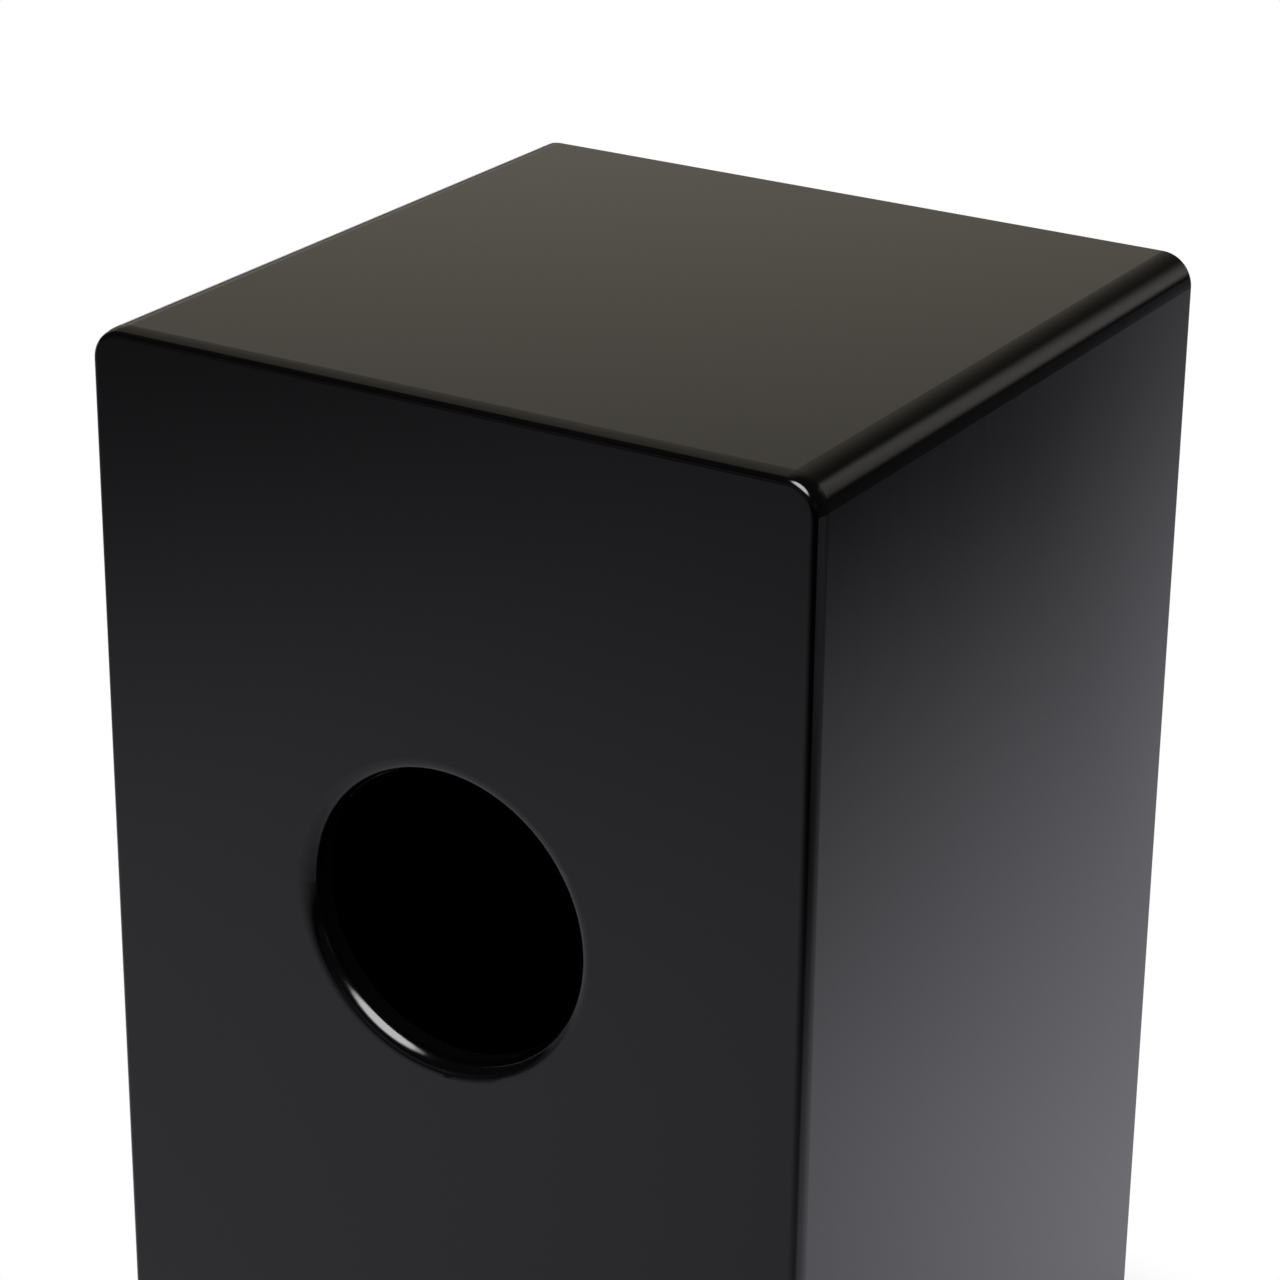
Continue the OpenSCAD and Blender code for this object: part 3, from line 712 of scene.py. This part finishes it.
def add_clamp_stud(look):
    low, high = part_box("clamp_stud")
    height = (high.z - low.z) / MM
    rows = math.ceil(height / STUD_PITCH * THREAD_ROWS)
    profile = [(STUD_R - STUD_END, 0)] + [(STUD_R, z) for z in spread(rows, STUD_END, height - STUD_END)]
    profile += [(STUD_R - STUD_END, height)]
    stud = turned(profile, 24, reach=thread(STUD_PITCH, STUD_THREAD_DEPTH))
    add_piece("clamp_stud_rod", stud, at_stud("clamp_stud"), SHELL, look, ["clamp_stud"])


def add_clamp_nut(look):
    """A hexagon whose corners are turned off at both ends."""
    low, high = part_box("clamp_nut")
    height = (high.z - low.z) / MM
    corner_r = (high.x - low.x) / MM / 2
    flat_r = corner_r * math.cos(math.radians(30))
    fall = (corner_r - flat_r) * math.tan(math.radians(30))
    hexagon = slab(arc((0, 0), corner_r, 0, 300, 5), 0, height)
    cone = [(flat_r * 0.97, 0), (corner_r + 0.05, fall + 0.15), (corner_r + 0.05, height - fall - 0.15),
            (flat_r * 0.97, height)]
    nut = combine(combine(hexagon, turned(cone, 96), "INTERSECT"), bore_tool(STUD_R - 0.1, 0, height, 0.5))
    add_piece("clamp_nut_hex", nut, at_stud("clamp_nut"), SHELL, look, ["clamp_nut"])


def add_clamp_washer(look):
    disc = washer(STUD_R + SCREW_PLAY, CLAMP_WASHER_R, WASHER_T)
    add_piece("clamp_washer_disc", disc, at_stud("clamp_washer"), SHELL, look, ["clamp_washer"])


def knob_outline(radius, flutes, flute_r):
    """A circle with round flutes cut in its edge."""
    centre_r = radius + flute_r / 2
    half = math.degrees(math.acos((radius**2 + centre_r**2 - flute_r**2) / (2 * radius * centre_r)))
    meet = Vector((radius * math.cos(math.radians(half)), radius * math.sin(math.radians(half))))
    open_angle = math.degrees(math.atan2(meet.y, meet.x - centre_r))
    step = 360 / flutes
    flute = arc((centre_r, 0), flute_r, 360 - open_angle, open_angle, 8)
    land = arc((0, 0), radius, half, step - half, 6)[1:-1]
    turns = [Matrix.Rotation(math.radians(step * i), 2) for i in range(flutes)]
    return [rotation @ point for rotation in turns for point in flute + land]


def add_knob(look):
    """A fluted knob with rounded edges, a dished underside and a hole for the stud."""
    low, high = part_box("clamp_knob")
    height = (high.z - low.z) / MM
    hole_r = STUD_R + SCREW_PLAY
    knob = slab(knob_outline(KNOB_R, KNOB_FLUTES, KNOB_FLUTE_R), 0, height, ease=0.8)
    dish = turned([(5.9, -EPS), (5.5, 0.2), (4.6, 0.9), (0.5, 1.1)])
    hole = turned([(hole_r, height - KNOB_BORE_DEPTH), (hole_r, height - 0.4), (STUD_R + 1.5, height + EPS)])
    knob = combine(combine(knob, dish), hole)
    add_piece("clamp_knob_moulding", knob, at_stud("clamp_knob"), KNOB, look, ["clamp_knob"])


# ---------------------------------------------------------------- turning bar


def bar_ends():
    left = -INNER_HALF_W / MM + PIVOT_BOSS + BAR_END_GAP
    right = INNER_HALF_W / MM - CLAMP_BOSS - BAR_END_GAP
    return left, right


def snare_screw_places():
    return [shift(side * SNARE_X + x, -BAR_FLAT - SNARE_T, 0) @ ALONG_Y
            for side in (-1, 1) for x in (-SNARE_SCREW_X, SNARE_SCREW_X)]


def lever_screw_places():
    return [shift(x, BAR_FLAT + STRIP_T, LEVER_SCREW_Z) @ turn(-90, "X")
            for x in (-LEVER_SCREW_X, LEVER_SCREW_X)]


def add_bar(look):
    """A round beech bar with two planed flats, bored at its ends for the pivot pins."""
    left, right = bar_ends()
    edge = math.degrees(math.acos(BAR_FLAT / BAR_R))
    outline = arc((0, 0), BAR_R, edge, 180 - edge, 14) + arc((0, 0), BAR_R, 180 + edge, 360 - edge, 14)
    bar = moved(slab(outline, left, right, ease=0.7), ALONG_X)
    bore = moved(bore_tool(PIN_R + SCREW_PLAY, 0, PIN_IN_BAR + SCREW_PLAY, 0.4), turn(90, "Y"))
    bores = repeat(bore, [shift(left, 0, 0), shift(right - PIN_IN_BAR, 0, 0)])
    screw_holes = gather(repeat(sink_tool(SNARE_SCREW), snare_screw_places()),
                         repeat(sink_tool(LEVER_SCREW), lever_screw_places()))
    bar = combine(combine(bar, bores), screw_holes)
    add_piece("snare_bar_turning", bar, AT_BAR, UNIT, look, ["snare_bar"])


def add_pins(look):
    """Steel pins with chamfered ends and a glue groove in the length that is in the bar."""
    left, right = bar_ends()
    stop = INNER_HALF_W / MM - BAR_END_GAP
    end_r, groove_r = PIN_R - PIN_CHAMFER, PIN_R - PIN_GROOVE_DEPTH
    low, high = PIN_GROOVE
    pins = []
    for side, end in ((-1, left), (1, right)):
        inner = side * end - PIN_IN_BAR
        length = stop - inner
        profile = [(end_r, 0), (PIN_R, PIN_CHAMFER), (PIN_R, low), (groove_r, low + PIN_GROOVE_DEPTH),
                   (groove_r, high - PIN_GROOVE_DEPTH), (PIN_R, high), (PIN_R, length - PIN_CHAMFER),
                   (end_r, length)]
        pins.append(moved(turned(profile), shift(side * inner, 0, 0) @ turn(side * 90, "Y")))
    add_piece("pivot_pin_pair", gather(*pins), AT_BAR, UNIT, look, ["pivot_pins"])


def add_snare_plate(node, side, look):
    """A small plate with rounded corners and countersunk holes, as stamped."""
    low, high = (-SNARE_W / 2, -SNARE_H / 2), (SNARE_W / 2, SNARE_H / 2)
    plate = moved(slab(rectangle(low, high, 2.0), BAR_FLAT, BAR_FLAT + SNARE_T, ease=0.25),
                  shift(side * SNARE_X, 0, 0) @ ALONG_Y)
    plate = combine(plate, repeat(sink_tool(SNARE_SCREW), snare_screw_places()))
    add_piece(node + "_stamping", plate, AT_BAR, UNIT, look, [node])


def coil(coil_r, wire_r, pitch, low, high, turn_steps=8, wire_sides=5):
    """A coiled wire along Z, of that outer radius."""
    radius = coil_r - wire_r
    rise = high - low - 2 * wire_r
    steps = round(rise / pitch * turn_steps)
    slope = math.atan2(pitch, math.tau * radius)
    turns = [math.tau * k / wire_sides for k in range(wire_sides)]
    rings = []
    for i in range(steps + 1):
        angle = math.tau * i / turn_steps
        cos_a, sin_a = math.cos(angle), math.sin(angle)
        out = Vector((cos_a, sin_a, 0))
        across = Vector((sin_a * math.sin(slope), -cos_a * math.sin(slope), math.cos(slope)))
        centre = out * radius + Vector((0, 0, low + wire_r + rise * i / steps))
        rings.append([centre + (out * math.cos(t) + across * math.sin(t)) * wire_r for t in turns])
    return skin(rings)


def solder_bead():
    """The bead that holds a wire's foot to its plate."""
    bm = bmesh.new()
    bmesh.ops.create_uvsphere(bm, u_segments=16, v_segments=10, radius=1.0)
    return moved(bm, Matrix.Diagonal((*BEAD_HALF, 1)))


def add_wires(node, side, look):
    """Ten coiled snare wires, their feet soldered to the plate."""
    y = -BAR_FLAT - SNARE_T - WIRE_GAP - COIL_R
    xs = [side * SNARE_X + (i - (WIRES - 1) / 2) * WIRE_PITCH for i in range(WIRES)]
    wires = repeat(coil(COIL_R, COIL_WIRE_R, COIL_PITCH, -WIRE_FOOT, WIRE_LEN), [shift(x, y, 0) for x in xs])
    beads = repeat(solder_bead(), [shift(x, y + COIL_R - BEAD_SUNK, BEAD_Z) for x in xs])
    add_piece(node + "_coils", gather(wires, beads), AT_BAR, UNIT, look, [node])


def add_snare_screws(look):
    places = [place @ turn(50 * i, "Z") for i, place in enumerate(snare_screw_places())]
    add_piece("snare_plate_screw_set", repeat(sunk_screw(SNARE_SCREW), places), AT_BAR, UNIT, look,
              ["snare_plate_screws"])


def strip_path():
    """(y, z, pitch angle) down the rear flat, round the bend and back towards the sound port."""
    middle_r = STRIP_BEND_R + STRIP_T / 2
    bend_y = BAR_FLAT + STRIP_T + STRIP_BEND_R
    path = [(BAR_FLAT + STRIP_T / 2, LEVER_SCREW_Z, math.pi)]
    for point, angle in zip(arc((bend_y, STRIP_BEND_Z), middle_r, 180, 270, 8), spread(9, 180, 270)):
        path.append((point.x, point.y, math.radians(angle)))
    path.append((BAR_FLAT + STRIP_REACH, STRIP_BEND_Z - middle_r, math.radians(270)))
    return path


def add_lever(look):
    """A bent steel strip with a wider foot that is screwed to the bar's rear flat."""
    section = rectangle((-STRIP_W / 2, -STRIP_T / 2), (STRIP_W / 2, STRIP_T / 2), 0.45, 3)
    rings = [[(u, y + v * math.cos(a), z + v * math.sin(a)) for u, v in section] for y, z, a in strip_path()]
    low, high = (-LEVER_FOOT_HALF_W, STRIP_BEND_Z), (LEVER_FOOT_HALF_W, LEVER_FOOT_TOP)
    outline = rectangle(low, high, LEVER_FOOT_R)
    foot = moved(slab(outline, -BAR_FLAT - STRIP_T, -BAR_FLAT, ease=0.4), ALONG_Y)
    lever = combine(foot, skin(rings), "UNION")
    lever = combine(lever, repeat(sink_tool(LEVER_SCREW), lever_screw_places()))
    add_piece("snare_lever_strip", lever, AT_BAR, UNIT, look, ["snare_lever"])


def grip_stations():
    """(distance from the grip's mouth, inset from its full section) from inside the mouth to the cap."""
    length, pocket = 37.0, 2.45
    mouth = [(3.0, pocket), (0.4, pocket), (0.0, pocket - 0.4),
             (0.0, 0.5), (0.15, 0.15), (0.5, 0.0), (3.0, 0.0)]
    rib, first, count = 3.2, 4.5, 8
    grooves = []
    for i in range(count):
        start = first + rib * i
        grooves += [(start, 0.0), (start + 0.25, 0.12), (start + 0.5, 0.45), (start + 0.9, 0.55),
                    (start + 1.3, 0.45), (start + 1.55, 0.12), (start + 1.8, 0.0)]
    cap = [(length - 2.0 + 2.0 * math.sin(math.radians(a)), 2.0 - 2.0 * math.cos(math.radians(a)))
           for a in range(0, 91, 15)]
    return mouth + grooves + cap


def add_grip(look):
    """A ribbed rubber grip pushed over the end of the lever."""
    width, thick = STRIP_W + GRIP_WALLS, STRIP_T + GRIP_WALLS
    tip = BAR_FLAT + STRIP_REACH
    z = STRIP_BEND_Z - STRIP_BEND_R - STRIP_T / 2
    rings = []
    for along, inset in grip_stations():
        low = (-width / 2 + inset, -thick / 2 + inset)
        high = (width / 2 - inset, thick / 2 - inset)
        section = rectangle(low, high, max(0.3, GRIP_R - inset), 6)
        rings.append([(u, tip - GRIP_OVERLAP + along, z + v) for u, v in section])
    add_piece("lever_grip_sleeve", skin(rings), AT_BAR, UNIT, look, ["lever_grip"])


def add_lever_screws(look):
    places = [place @ turn(30 + 75 * i, "Z") for i, place in enumerate(lever_screw_places())]
    screws = repeat(sunk_screw(LEVER_SCREW), places)
    add_piece("lever_screw_pair", screws, AT_BAR, UNIT, look, ["lever_screws"])


# ---------------------------------------------------------------- studio

EYE = Vector((-0.7224, 1.2077, 0.9303))
AIM = Vector((-0.0232, 0.0192, 0.3399))
ROLL = math.radians(0.866)
LENS_MM = 111.4
SENSOR_MM = 36.0
SHIFT = (-0.0324, 0.0202)  # the picture is a crop from the side of a wider one

# Bearings are degrees from +X towards +Y, heights are degrees above the horizon, glows are brightness
KEY_BEARING, KEY_HEIGHT, KEY_GLOW = 122, 63, 11.5
KEY_EDGE = (32, 18)  # degrees from the key light's middle to where it is gone, and to where it is full
# Low lights that reflections see: (bearing, spread, full up to, gone at, glow, colour)
LOW_LIGHTS = (
    (243.5, 9, 26, 33, 0.50, (1.03, 1.0, 0.95)),
    (300, 34, 12, 24, 0.24, (1.09, 1.0, 0.83)),
    (305, 30, 38, 56, 0.20, (1.09, 1.0, 0.83)),
    (76, 24, 6, 22, 0.30, (1.0, 1.0, 1.0)),
    (178, 14, 12, 24, 0.12, (1.0, 1.0, 1.0)),
)
LOW_LIGHT_FOOT = (2, 11)
ROOM_GLOW = 0.025
# The lit floor, each way as where it starts to fade and where that fade ends
FLOOR_GLOW, FLOOR_TINT = 0.95, (1.015, 1.0, 1.10)
FLOOR_LEFT, FLOOR_LEFT_BEHIND, FLOOR_RIGHT = (-0.05, -0.80), (0.25, -1.0), (0.45, 1.1)
FLOOR_BESIDE, FLOOR_BACK = (-0.3, 0.3), (0.45, 1.45)
BEHIND_SHARE, RIGHT_SHARE, BACK_SHARE = 0.51, 0.45, 0.4
# A dimmer patch of floor further out to the drum's left: its centre, and how far its edge fades
FAR_PATCH, FAR_PATCH_EDGE, FAR_PATCH_GLOW = (-1.0, -0.5, 0), (0.5, 0.1), 0.13
# The strip of floor far in front of the drum, by how far left it lies for each metre forward
FAR_FLOOR, FAR_GLOW, FAR_ROOM = (0.62, 0.36), 0.35, 0.03
FAR_START, LEAST_FORWARD = (-0.3, -0.7), -0.1
FLOOR_HALF = 20.0
CONTACT_REACH, CONTACT_SHADE = 0.06, 0.35  # the shadow round the feet: how far it goes, and its darkest


def add_camera():
    """Behind the drum, to its left and above it, with a long lens."""
    data = bpy.data.cameras.new("camera")
    data.sensor_width = SENSOR_MM
    data.lens = LENS_MM
    data.shift_x, data.shift_y = SHIFT
    camera = bpy.data.objects.new("camera", data)
    bpy.context.scene.collection.objects.link(camera)
    camera.location = EYE
    camera.rotation_mode = "QUATERNION"
    camera.rotation_quaternion = (AIM - EYE).to_track_quat("-Z", "Y") @ Quaternion((0, 0, 1), ROLL)
    bpy.context.scene.camera = camera


def heading(azimuth, height=0.0):
    """The unit vector towards an azimuth and a height in degrees."""
    a, h = math.radians(azimuth), math.radians(height)
    return Vector((math.cos(a) * math.cos(h), math.sin(a) * math.cos(h), math.sin(h)))


def towards(tree, direction, azimuth, spread_deg):
    """1 where a direction's compass bearing is the azimuth, falling off over that many degrees."""
    level = vector_calc(tree, "NORMALIZE", vector_calc(tree, "MULTIPLY", direction, (1, 1, 0)))
    match = vector_calc(tree, "DOT_PRODUCT", level, heading(azimuth), output="Value")
    tightness = 2 / math.radians(spread_deg) ** 2
    return calc(tree, "EXPONENT", calc(tree, "MULTIPLY", calc(tree, "SUBTRACT", match, 1.0), tightness))


def softbox(tree, direction):
    """A round patch of light with a soft edge."""
    match = vector_calc(tree, "DOT_PRODUCT", direction, heading(KEY_BEARING, KEY_HEIGHT), output="Value")
    gone, full = KEY_EDGE
    return ramp(tree, calc(tree, "ARCCOSINE", match), math.radians(gone), math.radians(full))


def low_light(tree, direction, height, bearing, spread_deg, full, gone, glow, colour):
    """The shader of one patch of light that stands on the horizon."""
    top = ramp(tree, height, gone, full, 0, glow)
    foot = ramp(tree, height, *LOW_LIGHT_FOOT)
    across = towards(tree, direction, bearing, spread_deg)
    patch = calc(tree, "MULTIPLY", calc(tree, "MULTIPLY", top, foot), across)
    return put(tree, "Background", {"Color": (*colour, 1), "Strength": patch}).outputs[0]


def add_world():
    """White to the camera; to reflections, a dim room with a softbox and a few low lights."""
    world = bpy.data.worlds.new("studio")
    world.use_nodes = True
    tree = world.node_tree
    tree.nodes.clear()
    direction = put(tree, "TexCoord").outputs["Generated"]
    rise = calc(tree, "ARCSINE", put(tree, "SeparateXYZ", {0: direction}).outputs["Z"])
    height = calc(tree, "DEGREES", rise)
    key = calc(tree, "MULTIPLY", softbox(tree, direction), KEY_GLOW)
    lit = calc(tree, "ADD", key, ROOM_GLOW)
    room = put(tree, "Background", {"Color": (1, 1, 1, 1), "Strength": lit}).outputs[0]
    for light in LOW_LIGHTS:
        room = put(tree, "AddShader", {0: room, 1: low_light(tree, direction, height, *light)}).outputs[0]
    white = put(tree, "Background", {"Color": (1, 1, 1, 1)}).outputs[0]
    seen = put(tree, "LightPath").outputs["Is Camera Ray"]
    put(tree, "OutputWorld", {"Surface": put(tree, "MixShader", {0: seen, 1: room, 2: white}).outputs[0]})
    bpy.context.scene.world = world


def floor_glow(tree, place):
    """How bright the floor looks in reflections, by place."""
    x, y, _ = put(tree, "SeparateXYZ", {0: place}).outputs
    behind = ramp(tree, y, *FLOOR_BESIDE)
    left_beside = ramp(tree, x, *FLOOR_LEFT, 1, 0)
    left_behind = ramp(tree, x, *FLOOR_LEFT_BEHIND, BEHIND_SHARE, 0)
    left = put(tree, "Mix", {"Factor": behind, 2: left_beside, 3: left_behind}).outputs[0]
    rightward = ramp(tree, x, *FLOOR_RIGHT, 1, RIGHT_SHARE)
    away = calc(tree, "MULTIPLY", rightward, ramp(tree, y, *FLOOR_BACK, 1, BACK_SHARE))
    near = calc(tree, "MULTIPLY", calc(tree, "MULTIPLY", left, away), FLOOR_GLOW)
    leftward = calc(tree, "DIVIDE", x, calc(tree, "MINIMUM", y, LEAST_FORWARD))
    far = ramp(tree, leftward, *FAR_FLOOR, FAR_ROOM, FAR_GLOW)
    front = ramp(tree, y, *FAR_START)
    apart = vector_calc(tree, "DISTANCE", place, FAR_PATCH, output="Value")
    patch = ramp(tree, apart, *FAR_PATCH_EDGE, 0, FAR_PATCH_GLOW)
    return calc(tree, "ADD", calc(tree, "ADD", near, patch), calc(tree, "MULTIPLY", far, front))


def floor_look():
    """Pale to the camera, with a soft contact shadow; to reflections, a pool of light round the drum."""
    look, tree, place = start_look("pale_floor")
    near = put(tree, "AmbientOcclusion", {"Distance": CONTACT_REACH}, samples=4).outputs["AO"]
    shade = ramp(tree, near, 0.0, 1.0, CONTACT_SHADE, 1.0, soft=False)
    lit = calc(tree, "MULTIPLY", floor_glow(tree, place), shade)
    cool = put(tree, "Emission", {"Color": (*FLOOR_TINT, 1), "Strength": lit})
    pale = put(tree, "Emission", {"Color": (1, 1, 1, 1), "Strength": shade})
    seen = put(tree, "LightPath").outputs["Is Camera Ray"]
    mixed = put(tree, "MixShader", {0: seen, 1: cool.outputs[0], 2: pale.outputs[0]})
    put(tree, "OutputMaterial", {"Surface": mixed.outputs[0]})
    return look


def add_floor():
    signs = ((-1, -1), (1, -1), (1, 1), (-1, 1))
    corners = [(FLOOR_HALF * x, FLOOR_HALF * y, 0) for x, y in signs]
    mesh = bpy.data.meshes.new("floor")
    mesh.from_pydata(corners, [], [(0, 1, 2, 3)])
    mesh.materials.append(floor_look())
    floor = bpy.data.objects.new("floor", mesh)
    bpy.context.scene.collection.objects.link(floor)


# ---------------------------------------------------------------- the drum


def dress_panels(look):
    for node in PANELS:
        NODES[node].data.materials.clear()
        NODES[node].data.materials.append(look)


def build_drum():
    lacquer = black_lacquer()
    birch = wood("birch", (0.62, 0.47, 0.30, 1), (0.42, 0.28, 0.15, 1), "Y", 60)
    beech = wood("beech", (0.56, 0.36, 0.20, 1), (0.34, 0.18, 0.085, 1), "X", 90, 0.48)
    zinc = bright_zinc()
    black_steel = black_phosphate()
    rubber = moulded_rubber()
    nylon = moulded_nylon()

    dress_panels(lacquer)
    add_plate_screws(black_steel)
    add_dowels("seat_dowel_set", "seat_dowels", beech)
    add_dowels("base_dowel_set", "base_dowels", beech)
    for level, up in (("seat", 1), ("base", -1)):
        for hand, side in (("left", -1), ("right", 1)):
            add_corner_block(f"{level}_{hand}_corner_block", side, up, birch)
    for node in ("front_left_foot", "front_right_foot", "rear_left_foot", "rear_right_foot"):
        add_foot(node, rubber)
    add_foot_fittings(zinc)

    add_pivot_bracket(nylon)
    add_clamp_bracket(nylon)
    add_bracket_screws(black_steel)
    add_clamp_stud(zinc)
    add_clamp_nut(zinc)
    add_clamp_washer(zinc)
    add_knob(nylon)

    add_bar(beech)
    add_pins(zinc)
    for hand, side in (("left", -1), ("right", 1)):
        add_snare_plate(f"{hand}_snare_plate", side, zinc)
        add_wires(f"{hand}_snare_wires", side, zinc)
    add_snare_screws(zinc)
    add_lever(zinc)
    add_grip(rubber)
    add_lever_screws(black_steel)


build_drum()
add_floor()
add_world()
add_camera()
bpy.context.scene.view_settings.view_transform = "Standard"
